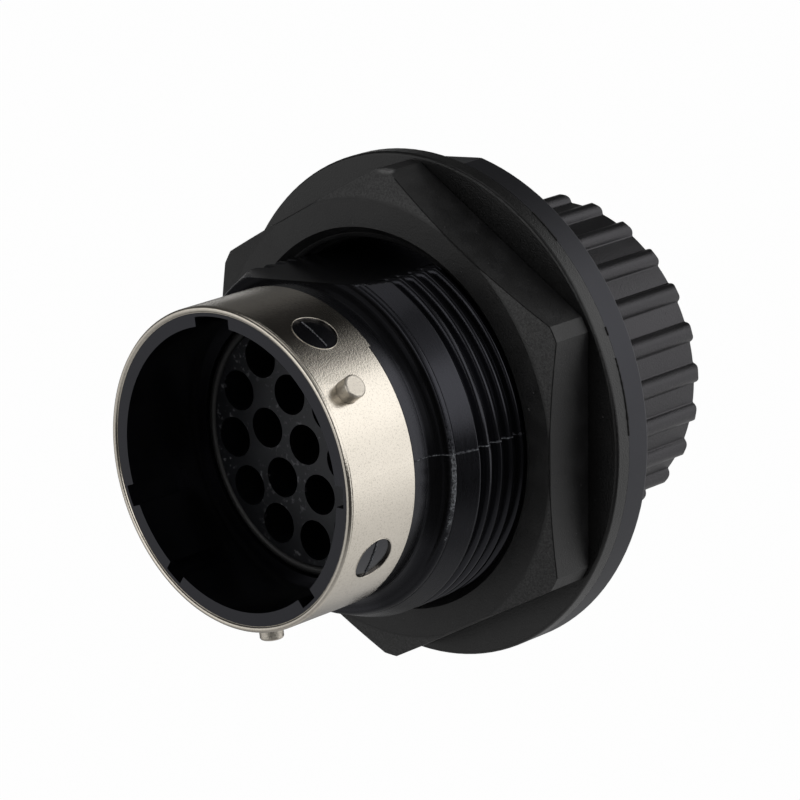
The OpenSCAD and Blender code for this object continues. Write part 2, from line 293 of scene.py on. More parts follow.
class Finish:
    """A surface finish: its places first, then the shader with its colour, roughness and relief."""

    def __init__(self, name):
        self.material = bpy.data.materials.new(name)
        self.material.use_nodes = True
        self.material.node_tree.nodes.clear()
        self.board = Board(self.material.node_tree)
        self.place = self.board.in_mm(self.board.node("ShaderNodeTexCoord").out("Object"))
        self.x, self.y, self.z = self.board.split(self.place)
        self.clock = self.board.math("ARCTAN2", self.x, self.z) / RAD
        self.radius = self.board.math("SQRT", self.x * self.x + self.z * self.z)

    def relief(self, height, depth):
        """Bump of the given depth in millimetres."""
        return self.board.node("ShaderNodeBump", {},
                               {"Height": height, "Distance": depth * MM, "Strength": 1.0})

    def close(self, colour, roughness, normal, fixed, painted_shade=None):
        """Puts the shader together; painted_shade mixes in a dark matt shader as painted shade."""
        sockets = {"Base Color": colour, "Roughness": roughness, "Normal": normal, **fixed}
        shader = self.board.node("ShaderNodeBsdfPrincipled", {}, sockets)
        if painted_shade is not None:
            shade_shader = self.board.node("ShaderNodeBsdfDiffuse", {}, {"Color": PAINTED_SHADE_COLOUR})
            shader = self.board.node("ShaderNodeMixShader", {}, {0: painted_shade, 1: shader, 2: shade_shader})
        self.board.node("ShaderNodeOutputMaterial", {}, {"Surface": shader})
        return self.material


# Finishes

def shell_finish():
    """Semi-gloss black moulding, wiped in streaks, whitened at its mould lines and torn edges, with painted
    shade in the neck's recess and on the collar's low sides.
    """
    f = Finish("shell_plastic_moulded")
    b = f.board
    cloud = b.noise(f.place, scale=0.25, detail=3)
    grain = b.noise(f.place, scale=7, detail=3)
    rag = b.noise(f.place, scale=4.5, detail=4, roughness=0.7)
    outside = b.fade(f.radius, *OUTSIDE_R)

    # Wiped streaks on the collar and the start of the thread
    handled = outside * b.fade(f.y, *HANDLED_FRONT) * b.fade(f.y, *HANDLED_BACK)
    handled = handled * b.fade(f.z, *HANDLED_TOP)
    streak = b.noise(b.stretched(f.place, (0.5, 4, 0.5)), scale=1, detail=4) * handled

    # Whitened lines: mould parting, torn front edge of the barrel, edge of the flat
    parting = b.band(abs(f.clock + (rag - 0.5) * 1.2), PARTING_CLOCKS[0], half=0.22, soft=0.25)
    parting = parting * outside * b.fade(f.y, *PARTING_FRONT) * b.fade(f.y, *PARTING_BACK)
    parting = parting * b.fade(rag, 0.45, 0.6)
    torn = b.band(f.y + (rag - 0.5) * 0.5, TORN_Y, half=0.07, soft=0.14)
    torn = torn * b.band(f.clock, TORN_CLOCK, half=8, soft=18) * b.fade(rag, 0.44, 0.6)
    section = COLLAR_R + b.fade(f.y, *NECK_SLOPE) * (PANEL_ROOT - COLLAR_R)
    flat_edge = b.band(f.z, PANEL_FLAT, half=0.02, soft=0.08) * b.fade(section - f.radius, 0.3, 0.12)
    flat_edge = flat_edge * b.band(f.y, FLAT_EDGE_Y, half=0.75, soft=0.2) * b.fade(rag, 0.42, 0.6)
    white = b.highest(parting * 0.6, torn * 0.5, flat_edge * 0.8)

    # Painted shade: a dark matt shader mixed in at the recess at the neck and on the low sides of the
    # collar
    recess = b.fade(f.y, *RECESS_FRONT) * b.fade(f.y, *RECESS_BACK) * b.fade(abs(f.clock), *RECESS_CLOCK)
    recess = recess * b.fade(f.radius, *RECESS_INNER) * b.fade(f.radius, *RECESS_OUTER)
    low = b.band(abs(f.clock), LOW_CLOCK, half=16, soft=14) * handled
    painted_shade = b.highest(recess * 0.85, low * 0.45)

    flange = b.fade(f.radius, *FLANGE_R)
    colour = b.tint(cloud, SHELL_DEEP, SHELL_PALE)
    colour = b.tint(flange * 0.8, colour, SHELL_FLANGE)
    colour = b.tint(white, colour, SHELL_WHITENED)
    rough = 0.17 + cloud * 0.08 + streak * 0.12 + white * 0.3 + flange * 0.24
    relief = f.relief(grain * 0.2 + streak * 0.12 + white * 1.2, depth=0.02)
    return f.close(colour, rough, relief, {"IOR": BLACK_IOR, "Specular Tint": SHELL_SHEEN}, painted_shade)


def nut_finish(name, base_rough, scuffs, sheen=WHITE):
    """Black moulding with a spark-eroded grain, scuffs, pale specks and a painted highlight along the front
    edge.
    """
    f = Finish(name)
    b = f.board
    cloud = b.noise(f.place, scale=0.18, detail=4)
    smudge = b.fade(b.noise(f.place, scale=0.55, detail=5, roughness=0.6), 0.42, 0.66) * scuffs
    grain = b.noise(f.place, scale=6, detail=4, roughness=0.65)
    speck = b.fade(b.noise(f.place, scale=3.2), 0.72, 0.8)

    # Painted highlight along the edge of the chamfer, and one nick in it
    off_cone = f.radius - NUT_FLAT - (f.y - NUT_FRONT) * NUT_CHAMFER
    painted_highlight = b.band(off_cone, 0, half=0.05, soft=0.1) * b.fade(f.y, *NUT_HIGHLIGHT_Y) * b.fade(f.x, *NUT_HIGHLIGHT_X)
    painted_highlight = painted_highlight * b.fade(grain, 0.3, 0.7)
    nick_middle = [spot * factor for spot, factor in zip(NICK_SPOT, NICK_SHAPE)]
    off_nick = b.node("ShaderNodeVectorMath", {"operation": "DISTANCE"},
                      {0: b.stretched(f.place, NICK_SHAPE), 1: nick_middle})
    nick = b.fade(off_nick + (grain - 0.5) * 0.8, 0.5, 0.2)

    colour = b.tint(cloud, NUT_DEEP, NUT_PALE)
    colour = b.tint(smudge, colour, NUT_SCUFF)
    colour = b.tint(speck * 0.6, colour, NUT_SPECK)
    # Painted highlight: the chamfer's edge is lightened
    colour = b.tint(painted_highlight, colour, NUT_HIGHLIGHT)
    colour = b.tint(nick * 0.7, colour, NUT_NICK)
    rough = base_rough + cloud * 0.1 + grain * 0.06 + smudge * 0.1
    relief = f.relief(grain + speck, depth=0.03)
    return f.close(colour, rough, relief, {"IOR": BLACK_IOR, "Specular Tint": sheen})


def rubber_finish(name, black, base_rough):
    """Dull rubber with a soft mottle and crumbs of dust."""
    f = Finish(name)
    b = f.board
    cloud = b.noise(f.place, scale=0.3, detail=4)
    grain = b.noise(f.place, scale=8, detail=3)
    crumb = b.fade(b.noise(f.place, scale=2.4), 0.76, 0.84)
    mottle = [level * RUBBER_MOTTLE for level in black]
    colour = b.tint(cloud, (*black, 1), (*mottle, 1))
    colour = b.tint(crumb * 0.7, colour, RUBBER_CRUMB)
    relief = f.relief(grain + crumb, depth=0.03)
    return f.close(colour, base_rough + cloud * 0.12, relief, {"IOR": BLACK_IOR})


def insert_finish():
    """Satin blue-black moulding of the contact insert and the follower, dusty on the insert's face."""
    f = Finish("insert_plastic_satin")
    b = f.board
    cloud = b.noise(f.place, scale=0.35, detail=3)
    grain = b.noise(f.place, scale=8, detail=2)
    patch = b.fade(b.noise(f.place, scale=0.45, detail=1), 0.44, 0.54)
    dust = b.fade(b.noise(f.place, scale=2.2, detail=4, roughness=0.65), 0.56, 0.68)
    dust = dust * patch * b.fade(f.y, *INSERT_FACE_Y)
    colour = b.tint(cloud, INSERT_DEEP, INSERT_PALE)
    colour = b.tint(dust * 0.8, colour, INSERT_DUST)
    rough = 0.3 + cloud * 0.12 + dust * 0.3
    relief = f.relief(grain + dust, depth=0.02)
    return f.close(colour, rough, relief, {"IOR": BLACK_IOR, "Specular Tint": INSERT_SHEEN})


def nickel_finish(name, base_rough, pebble_depth):
    """Nickel plating with a fine pebbled skin and faint stains."""
    f = Finish(name)
    b = f.board
    pebble = b.noise(f.place, scale=6.5, detail=3, roughness=0.7)
    cloud = b.noise(f.place, scale=0.35, detail=4)
    stain = b.fade(b.noise(f.place, scale=1.1, detail=5, roughness=0.7), 0.6, 0.75)
    colour = b.tint(cloud, NICKEL_PALE, NICKEL_DEEP)
    colour = b.tint(stain * 0.25, colour, NICKEL_STAIN)
    colour = b.tint(b.fade(pebble, 0.5, 0.3) * 0.5, colour, NICKEL_PIT)
    rough = base_rough + cloud * 0.06 + stain * 0.1
    return f.close(colour, rough, f.relief(pebble, pebble_depth), {"Metallic": 1.0})


def torn_finish():
    """Plastic whitened where the flash was torn off."""
    f = Finish("torn_plastic")
    b = f.board
    rag = b.noise(f.place, scale=6, detail=4, roughness=0.7)
    colour = b.tint(b.fade(rag, 0.38, 0.62), TORN_DEEP, TORN_WHITE)
    return f.close(colour, 0.45 + rag * 0.3, f.relief(rag, depth=0.03), {"IOR": TORN_IOR})


def spring_finish():
    """Plain spring steel with drawn lines."""
    f = Finish("spring_steel_plain")
    b = f.board
    drawn = b.noise(b.stretched(f.place, (6, 0.8, 6)), scale=1.5, detail=3)
    colour = b.tint(drawn, STEEL_DEEP, STEEL_PALE)
    return f.close(colour, 0.28 + drawn * 0.15, f.relief(drawn, depth=0.005), {"Metallic": 1.0})


shell_plastic = shell_finish()
nut_plastic = nut_finish("nut_plastic_matte", base_rough=0.38, scuffs=0.6)
rear_nut_plastic = nut_finish("rear_nut_plastic_satin", base_rough=0.25, scuffs=0.3, sheen=REAR_NUT_SHEEN)
insert_plastic = insert_finish()
gasket_rubber = rubber_finish("gasket_rubber", GASKET_BLACK, base_rough=0.28)
seal_rubber = rubber_finish("seal_rubber", SEAL_BLACK, base_rough=0.38)
# Near-black rubber for beads that are painted shade, in the gasket's gaps and along the nut's edge
painted_seam_shade = rubber_finish("painted_seam_shade", SEAM_BLACK, base_rough=0.8)
nickel = nickel_finish("nickel_plating", base_rough=0.12, pebble_depth=0.013)
pin_nickel = nickel_finish("nickel_turned_pin", base_rough=0.3, pebble_depth=0.04)
spring_steel = spring_finish()
torn_plastic = torn_finish()

FINISH_OF = {
    "shell": shell_plastic,
    "coupling_sleeve": nickel,
    "bayonet_pin_1": pin_nickel,
    "bayonet_pin_2": pin_nickel,
    "bayonet_pin_3": pin_nickel,
    "contact_insert": insert_plastic,
    "mating_seal": seal_rubber,
    "retaining_ring": spring_steel,
    "wire_seal": seal_rubber,
    "seal_follower": insert_plastic,
    "rear_nut": rear_nut_plastic,
    "jam_nut": nut_plastic,
    "panel_gasket": gasket_rubber,
}
for node_name, finish in FINISH_OF.items():
    skin = nodes[node_name].data.materials
    skin.clear()
    skin.append(finish)


# What the geometry trees share

WELD = 0.002


def new_tree(name, inputs):
    """A geometry tree with named inputs, the first of which takes the mesh that it grows from."""
    tree = bpy.data.node_groups.new(name, "GeometryNodeTree")
    tree.interface.new_socket("Mesh", in_out="OUTPUT", socket_type="NodeSocketGeometry")
    tree.interface.new_socket("Start mesh", in_out="INPUT", socket_type="NodeSocketGeometry")
    for label, kind in inputs:
        tree.interface.new_socket(label, in_out="INPUT", socket_type=kind)
    return tree


def unit_grid(b, columns, rows):
    """A flat grid, with each point's share of the way along it and across it."""
    grid = b.node("GeometryNodeMeshGrid", {},
                  {"Size X": 1.0, "Size Y": 1.0, "Vertices X": columns, "Vertices Y": rows})
    x, y, _ = b.split(b.node("GeometryNodeInputPosition"))
    return grid, x + 0.5, y + 0.5


def bend_round(b, grid, radius, y, turn):
    """Puts the points of a grid at their radius, y and turn about the connector's axis."""
    spot = b.node("ShaderNodeCombineXYZ", {}, {
        "X": radius * b.math("SINE", turn) * MM,
        "Y": y * MM,
        "Z": radius * b.math("COSINE", turn) * MM,
    })
    return b.node("GeometryNodeSetPosition", {}, {"Geometry": grid, "Position": spot})


def finish_tree(b, mesh, size):
    """Closes a tree's seams, makes its result plain and gives it its finish."""
    mesh = b.node("GeometryNodeMergeByDistance", {}, {"Geometry": mesh, "Distance": WELD * MM})
    mesh = b.node("GeometryNodeRealizeInstances", {}, {"Geometry": mesh})
    mesh = b.node("GeometryNodeSetMaterial", {}, {"Geometry": mesh, "Material": size.out("Finish")})
    b.node("NodeGroupOutput", {}, {"Mesh": mesh})


def grow(name, tree, inputs, body, start=None):
    """Runs a geometry tree and makes a plain mesh of its result, as a piece of a body."""
    grower = bpy.data.objects.new(name + "_grower", start or bpy.data.meshes.new(name + "_start"))
    bpy.context.scene.collection.objects.link(grower)
    modifier = grower.modifiers.new("shape", "NODES")
    modifier.node_group = tree
    for item in tree.interface.items_tree:
        if item.in_out == "INPUT" and item.name in inputs:
            modifier[item.identifier] = inputs[item.name]
    graph = bpy.context.evaluated_depsgraph_get()
    mesh = bpy.data.meshes.new_from_object(grower.evaluated_get(graph))
    grower.modifiers.remove(modifier)
    bpy.data.objects.remove(grower)
    place_mesh(name, mesh, body)


def place_mesh(name, mesh, body):
    """Closes open ends, points the faces outwards, smooths them and makes the mesh a piece of a body."""
    work = bmesh.new()
    work.from_mesh(mesh)
    bmesh.ops.holes_fill(work, edges=[edge for edge in work.edges if edge.is_boundary])
    bmesh.ops.recalc_face_normals(work, faces=work.faces)
    for face in work.faces:
        face.smooth = True
    work.to_mesh(mesh)
    work.free()
    mesh.name = name
    piece = bpy.data.objects.new(name, mesh)
    bpy.context.scene.collection.objects.link(piece)
    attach(piece, body)


# Screw threads

THREAD_INPUTS = (
    ("Root radius", "NodeSocketFloat"),
    ("Crest radius", "NodeSocketFloat"),
    ("Seat radius", "NodeSocketFloat"),
    ("Pitch", "NodeSocketFloat"),
    ("First crest", "NodeSocketFloat"),
    ("Front", "NodeSocketFloat"),
    ("Back", "NodeSocketFloat"),
    ("Run in", "NodeSocketFloat"),
    ("Land", "NodeSocketFloat"),
    ("Flat height", "NodeSocketFloat"),
    ("Mould offset", "NodeSocketFloat"),
    ("Sides", "NodeSocketInt"),
    ("Rows", "NodeSocketInt"),
    ("Finish", "NodeSocketMaterial"),
)

# Half width of a ridge at its foot and width of its flank, as shares of the pitch
RIDGE_FOOT = 0.44
RIDGE_FLANK = 0.34

# How threads end, and how they lie on the cylinders that carry them
NUT_RUN_IN = 0.4
RUN_OUT = 0.3
END_WALL = 0.02
SKIN = 0.015
SEAT_DEPTH = 0.3
NO_FLAT = 99.0
LEAST_COSINE = 0.05


def thread_tree():
    """A helical ridge on a cylinder, cut by a flat: one closed skin whose back lies at the seat radius."""
    tree = new_tree("screw_thread", THREAD_INPUTS)
    b = Board(tree)
    size = b.node("NodeGroupInput")
    root = size.out("Root radius")
    seat = size.out("Seat radius")
    front = size.out("Front")
    back = size.out("Back")
    flat = size.out("Flat height")
    rows = size.out("Rows")

    # The first row and the last two are the skin's back, at the seat radius
    grid, along, across = unit_grid(b, size.out("Sides") + 1, rows + 3)
    edge = b.math("ARCCOSINE", b.lowest(flat / (seat + END_WALL), 1.0))
    turn = edge + along * (2 * math.pi - 2 * edge)
    row = across * (rows + 2)
    y = front + b.clamped((row - 1) / (rows - 1)) * (back - front)

    # Height of the ridge; one mould half is set off along the axis
    second_half = abs(turn - math.pi) < math.pi / 2
    phase = y - size.out("First crest") - second_half * size.out("Mould offset")
    phase = phase / size.out("Pitch") - turn / (2 * math.pi)
    from_crest = abs(phase - b.math("ROUND", phase))
    rise = b.clamped((RIDGE_FOOT - from_crest) / RIDGE_FLANK)
    rise = b.highest(rise * rise * (3 - 2 * rise), (phase < 0) * size.out("Land"))
    ends = b.lowest((y - front) / size.out("Run in"), (back - y) / RUN_OUT)
    rise = b.lowest(rise, b.highest(ends, 0.0))

    # Cut by the flat, then the back of the skin
    radius = root + (size.out("Crest radius") - root) * rise
    to_flat = flat / b.highest(b.math("COSINE", turn), LEAST_COSINE)
    radius = b.lowest(radius, b.highest(to_flat, seat))
    buried = b.highest(row < 0.5, row > rows + 0.5)
    radius = radius + (seat - radius) * buried
    y = y + (front - y) * (row > rows + 1.5)
    finish_tree(b, bend_round(b, grid, radius, y, turn), size)
    return tree


threads = thread_tree()
ROUND_THREAD = {"Land": 0.0, "Flat height": NO_FLAT, "Mould offset": 0.0, "Sides": 240}

grow("panel_thread", threads, {
    "Root radius": PANEL_ROOT + SKIN, "Crest radius": PANEL_CREST, "Seat radius": PANEL_ROOT - SEAT_DEPTH,
    "Pitch": PANEL_PITCH, "First crest": PANEL_FIRST_CREST,
    "Front": PANEL_THREAD_FRONT, "Back": PANEL_THREAD_BACK, "Run in": PANEL_RUN_IN,
    "Land": 1.0, "Flat height": PANEL_FLAT - SKIN, "Mould offset": MOULD_OFFSET,
    "Sides": 300, "Rows": 150, "Finish": shell_plastic,
}, "receptacle")

grow("jam_nut_thread", threads, {
    "Root radius": NUT_BORE - SKIN, "Crest radius": NUT_CREST, "Seat radius": NUT_BORE + SEAT_DEPTH,
    "Pitch": PANEL_PITCH, "First crest": PANEL_FIRST_CREST + PANEL_PITCH / 2,
    "Front": NUT_THREAD_FRONT, "Back": NUT_THREAD_BACK, "Run in": NUT_RUN_IN,
    **ROUND_THREAD, "Rows": 50, "Finish": nut_plastic,
}, "jam_nut")

grow("rear_thread", threads, {
    "Root radius": REAR_ROOT + SKIN, "Crest radius": REAR_CREST, "Seat radius": REAR_ROOT - SEAT_DEPTH,
    "Pitch": REAR_PITCH, "First crest": REAR_FIRST_CREST,
    "Front": REAR_THREAD_FRONT, "Back": REAR_THREAD_BACK, "Run in": REAR_RUN_IN,
    **ROUND_THREAD, "Rows": 84, "Finish": shell_plastic,
}, "receptacle")

grow("rear_nut_thread", threads, {
    "Root radius": REAR_NUT_BORE - SKIN, "Crest radius": REAR_NUT_CREST,
    "Seat radius": REAR_NUT_BORE + SEAT_DEPTH,
    "Pitch": REAR_PITCH, "First crest": REAR_FIRST_CREST + REAR_PITCH / 2,
    "Front": REAR_NUT_THREAD_FRONT, "Back": REAR_NUT_THREAD_BACK, "Run in": NUT_RUN_IN,
    **ROUND_THREAD, "Rows": 76, "Finish": nut_plastic,
}, "rear_nut")


# Flash torn off the front edge of the shell's barrel

TORN_INPUTS = (
    ("Edge radius", "NodeSocketFloat"),
    ("Edge front", "NodeSocketFloat"),
    ("Round", "NodeSocketFloat"),
    ("First clock", "NodeSocketFloat"),
    ("Last clock", "NodeSocketFloat"),
    ("Height", "NodeSocketFloat"),
    ("Seed", "NodeSocketFloat"),
    ("Along", "NodeSocketInt"),
    ("Across", "NodeSocketInt"),
    ("Finish", "NodeSocketMaterial"),
)

# Degrees of the rounded edge under the rim, how deep its skin and back lie, and how fast its ends taper
TORN_ARC = 60
TORN_SKIN_DEPTH = 0.05
TORN_BACK_DEPTH = 0.2
TORN_FIRST_TAPER = 9
TORN_LAST_TAPER = 1.3
TORN_TIP = 0.001


def torn_tree():
    """Ragged rim on a rounded edge: a closed strip, mostly sunk, that stands up where the noise is high."""
    tree = new_tree("torn_rim", TORN_INPUTS)
    b = Board(tree)
    size = b.node("NodeGroupInput")
    edge_radius = size.out("Edge radius")
    rounding = size.out("Round")
    first = size.out("First clock")
    steps = size.out("Across")

    # The rows go over the edge, then back under it to where they began
    grid, along, across = unit_grid(b, size.out("Along") + 1, steps + 3)
    row = b.math("ROUND", across * (steps + 2))
    over = row / steps * (row < steps + 0.5)
    under = (row > steps + 0.5) * (row < steps + 1.5)
    sunk = b.highest(under, along < TORN_TIP, along > 1 - TORN_TIP)
    tilt = (over * TORN_ARC - TORN_ARC) * RAD
    tilt = tilt + (-TORN_ARC / 2 * RAD - tilt) * sunk
    clock = (first + along * (size.out("Last clock") - first)) * RAD

    # How far the torn skin stands out from the middle of the rounding
    spread = b.node("ShaderNodeCombineXYZ", {},
                    {"X": clock * edge_radius, "Y": tilt * rounding, "Z": size.out("Seed")})
    rag = b.noise(spread, scale=1.5, detail=5, roughness=0.75)
    taper = b.lowest(along * TORN_FIRST_TAPER, (1 - along) * TORN_LAST_TAPER, 1.0)
    taper = taper * b.math("SINE", over * math.pi)
    stand = b.fade(rag, 0.38, 0.66) * size.out("Height") * taper + taper * TORN_SKIN_DEPTH
    reach = rounding - TORN_SKIN_DEPTH + stand * (1 - sunk) - sunk * TORN_BACK_DEPTH
    radius = edge_radius - rounding + reach * b.math("COSINE", tilt)
    y = size.out("Edge front") + rounding + reach * b.math("SINE", tilt)
    finish_tree(b, bend_round(b, grid, radius, y, clock), size)
    return tree


grow("torn_flash", torn_tree(), {
    "Edge radius": PANEL_ROOT, "Edge front": BARREL_FRONT, "Round": LEAD_ROUND,
    "First clock": 87.5, "Last clock": 124.0, "Height": 0.3, "Seed": 3.0,
    "Along": 220, "Across": 10, "Finish": torn_plastic,
}, "receptacle")


# Paths of the thin beads

# How deep the middle of each bead lies under the skin that carries it
PARTING_DEPTH = 0.03
RIM_DEPTH = 0.01
RIDGE_DEPTH = 0.02
NUT_EDGE_DEPTH = 0.02
NUT_EDGE_BACK = 0.015

# Parting line: its points down the collar, its end at the nut, and its steps along the thread
COLLAR_LINE_Y = (7.32, 7.52, 7.72, 7.92, 8.12, 8.32)
PARTING_END = NUT_FRONT - 0.1
PARTING_STEPS = 110

# Mould ridge on a boss: its radius, half its length in degrees, its steps and its waver
RIDGE_R = 12.7
RIDGE_SWING = 6.6
RIDGE_STEPS = 40
RIDGE_WAVER = 0.03
RIDGE_WAVE = 1.7

# Dark line of painted shade on the nut, in degrees from a corner, and steps along the other paths
NUT_EDGE_DEGREES = range(4, 119)
RIM_STEPS = 72
SLEEVE_EDGE_STEP = 2
SEAM_STEPS_PER_DEGREE = 4


def spot_at(radius, y, clock):
    return Vector((radius * math.sin(clock * RAD), y, radius * math.cos(clock * RAD)))


def arc(middle, radius, first, last, steps):
    """Points [radius, y] round an arc; 0 degrees points away from the axis and 90 to the back."""
    turns = [(first + (last - first) * i / steps) * RAD for i in range(steps + 1)]
    return [(middle[0] + radius * math.cos(turn), middle[1] + radius * math.sin(turn)) for turn in turns]


def thread_radius(y, clock):
    """Radius of the panel thread's skin in front of the nut, as its tree shapes it."""
    phase = (y - PANEL_FIRST_CREST) / PANEL_PITCH - clock / 360
    from_crest = abs(phase - round(phase))
    rise = min(max((RIDGE_FOOT - from_crest) / RIDGE_FLANK, 0), 1)
    rise = 1 if phase < 0 else rise * rise * (3 - 2 * rise)
    rise = min(rise, max((y - PANEL_THREAD_FRONT) / PANEL_RUN_IN, 0))
    return PANEL_ROOT + (PANEL_CREST - PANEL_ROOT) * rise


def parting_line(clock):
    """Line where the mould halves met, down the collar, round the neck and along the thread."""
    points = [(COLLAR_R, y) for y in COLLAR_LINE_Y]
    points += arc((COLLAR_R + COLLAR_ROUND, BARREL_FRONT - COLLAR_ROUND), COLLAR_ROUND, 180, 90, 12)
    start = BARREL_FRONT + LEAD_ROUND
    points += arc((PANEL_ROOT - LEAD_ROUND, start), LEAD_ROUND, -80, 0, 8)
    for i in range(1, PARTING_STEPS + 1):
        y = start + (PARTING_END - start) * i / PARTING_STEPS
        points.append((thread_radius(y, clock), y))
    return [spot_at(radius - PARTING_DEPTH, y, clock) for radius, y in points]


def window_rim(clock):
    """Edge of a window on the outside of the sleeve."""
    points = []
    for i in range(RIM_STEPS):
        turn = 2 * math.pi * i / RIM_STEPS
        swing = WINDOW_R * math.cos(turn) / SLEEVE_R / RAD
        points.append(spot_at(SLEEVE_R - RIM_DEPTH, WINDOW_Y + WINDOW_R * math.sin(turn), clock + swing))
    return points


def window_seam(clock):
    """Top of the mould ridge across a boss."""
    points = []
    for i in range(RIDGE_STEPS + 1):
        y = WINDOW_Y + RIDGE_WAVER * math.sin(RIDGE_WAVE * i)
        swing = RIDGE_SWING * (2 * i / RIDGE_STEPS - 1)
        points.append(spot_at(RIDGE_R - RIDGE_DEPTH, y, clock + swing))
    return points


def sleeve_edge():
    """Middle of the sleeve's front edge."""
    clocks = range(0, 360, SLEEVE_EDGE_STEP)
    return [spot_at(SLEEVE_R - SLEEVE_WALL / 2, LIP_Y, clock) for clock in clocks]


def nut_edge():
    """Front edge of the jam nut at its right, where the chamfer meets the sides."""
    points = []
    for degrees in NUT_EDGE_DEGREES:
        from_middle = (degrees % 60 - 30) * RAD
        radius = min(NUT_FLAT / math.cos(from_middle), NUT_CORNER)
        y = NUT_FRONT + (radius - NUT_FLAT) / NUT_CHAMFER + NUT_EDGE_BACK
        points.append(spot_at(radius - NUT_EDGE_DEPTH, y, NUT_CORNER_CLOCK + degrees))
    return points


def seam_gap(first, last):
    """Part of the seam round the flange where the gasket stands off."""
    steps = SEAM_STEPS_PER_DEGREE * math.ceil(last - first)
    return [spot_at(SEAM_R, SEAM_Y, first + (last - first) * i / steps) for i in range(steps + 1)]


def lines(name, paths, closed):
    """Mesh of bare edges along the paths, for beads to follow."""
    spots = []
    edges = []
    for path in paths:
        first = len(spots)
        spots += [point * MM for point in path]
        edges += [(i, i + 1) for i in range(first, len(spots) - 1)]
        if closed:
            edges.append((len(spots) - 1, first))
    mesh = bpy.data.meshes.new(name)
    mesh.from_pydata(spots, edges, [])
    return mesh


# Thin beads along edges and seams

BEAD_INPUTS = (
    ("Thickness", "NodeSocketFloat"),
    ("Unevenness", "NodeSocketFloat"),
    ("Sides", "NodeSocketInt"),
    ("Finish", "NodeSocketMaterial"),
)

# Swing of the noise in a bead's thickness, and the least share of it that is left
BEAD_SWING = 4
BEAD_LEAST = 0.1


def bead_tree():
    """Closed tube along the edges of its start mesh, as uneven as it is told."""
    tree = new_tree("bead", BEAD_INPUTS)
    b = Board(tree)
    size = b.node("NodeGroupInput")
    rag = b.noise(b.in_mm(b.node("GeometryNodeInputPosition")), scale=2.5, detail=3)
    share = 1 + (rag - 0.5) * BEAD_SWING * size.out("Unevenness")
    radius = size.out("Thickness") * b.highest(share, BEAD_LEAST) * MM
    line = b.node("GeometryNodeMeshToCurve", {}, {"Mesh": size.out("Start mesh")})
    outline = b.node("GeometryNodeCurvePrimitiveCircle", {},
                     {"Resolution": size.out("Sides"), "Radius": 1.0})
    tube = b.node("GeometryNodeCurveToMesh", {},
                  {"Curve": line, "Profile Curve": outline, "Scale": radius, "Fill Caps": True})
    finish_tree(b, tube, size)
    return tree


beads = bead_tree()

parting_lines = lines("parting_lines", [parting_line(clock) for clock in PARTING_CLOCKS], closed=False)
grow("parting_flash", beads, {"Thickness": 0.04, "Unevenness": 0.9, "Sides": 6, "Finish": torn_plastic},
     "receptacle", parting_lines)

window_rims = lines("window_rims", [window_rim(clock) for clock in WINDOW_CLOCKS], closed=True)
grow("window_lips", beads, {"Thickness": 0.045, "Unevenness": 0.1, "Sides": 6, "Finish": nickel},
     "receptacle", window_rims)

sleeve_edges = lines("sleeve_edges", [sleeve_edge()], closed=True)
grow("sleeve_lip", beads, {"Thickness": SLEEVE_WALL / 2, "Unevenness": 0.0, "Sides": 16, "Finish": nickel},
     "receptacle", sleeve_edges)

window_seams = lines("window_seams", [window_seam(clock) for clock in WINDOW_CLOCKS], closed=False)
grow("window_flash", beads, {"Thickness": 0.05, "Unevenness": 0.6, "Sides": 6, "Finish": torn_plastic},
     "receptacle", window_seams)

# A near-black bead along the nut's front edge is painted shade, for the dark line there
nut_edges = lines("nut_edges", [nut_edge()], closed=False)
grow("nut_edge_line", beads, {"Thickness": 0.055, "Unevenness": 0.1, "Sides": 6, "Finish": painted_seam_shade},
     "jam_nut", nut_edges)

# A near-black bead in the gaping seam is painted shade, standing in for the gap under the gasket
seam_gaps = lines("seam_gaps", [seam_gap(*gap) for gap in SEAM_GAPS], closed=False)
grow("gasket_seam", beads, {"Thickness": 0.1, "Unevenness": 0.3, "Sides": 6, "Finish": painted_seam_shade},
     "receptacle", seam_gaps)


# Floor, light and camera; lengths on the stage are in metres

FLOOR_Z = -0.07
FLOOR_HALF = 4.0
FLOOR_COLOUR = (0.86, 0.86, 0.86, 1)
BACKDROP = 1.0
CAMERA_SHARE = 0.985

# How bright the floor's painted light and shade look in the object
FLOOR_RIGHT = 1.0
FLOOR_BEHIND = 0.66
FLOOR_LEFT = 0.5
FLOOR_NEAR = 0.38
DARK = 0.045

# Distances and bearings over which the parts of the floor fade in
SHADE_REACH = (0, 0.3)
NEAR_REACH = (0.14, 0)
BEHIND_REACH = (0.26, 0.1)
BEHIND_END = (150, 172)
FLOOR_RIGHT_START = (70, 84)
FLOOR_RIGHT_TO_BEHIND = (105, 175)
FLOOR_LEFT_START = (-25, -45)
FLOOR_LEFT_END = (-145, -115)

# How bright the screens and the rest of the studio look in the object
SCREEN_RIGHT = 1.2
SCREEN_LEFT = 1.1
BEHIND = 0.075
HORIZON = 0.5
HIGH_FRONT = 0.3
DARK_CORNER = 0.035

# Bearings over which the screens fade in, and heights from 0 at the horizon to 1 overhead
RIGHT_START = (-5, 25)
RIGHT_END = (145, 122)
RIGHT_TOP = (0.71, 0.53)
RIGHT_FOOT = (0, 0.3)
LEFT_START = (-26, -40)
LEFT_END = (-125, -105)
LEFT_TOP = (0.6, 0.4)
LEFT_FALL = (-45, -135)
REAR_START = (115, 140)
REAR_TOP = (0.64, 0.5)
HORIZON_TOP = (0.2, 0)
HIGH_END = (95, 65)
HIGH_TOP = (1, 0.8)
CORNER_START = (120, 135)
CORNER_FOOT = (0.55, 0.61)

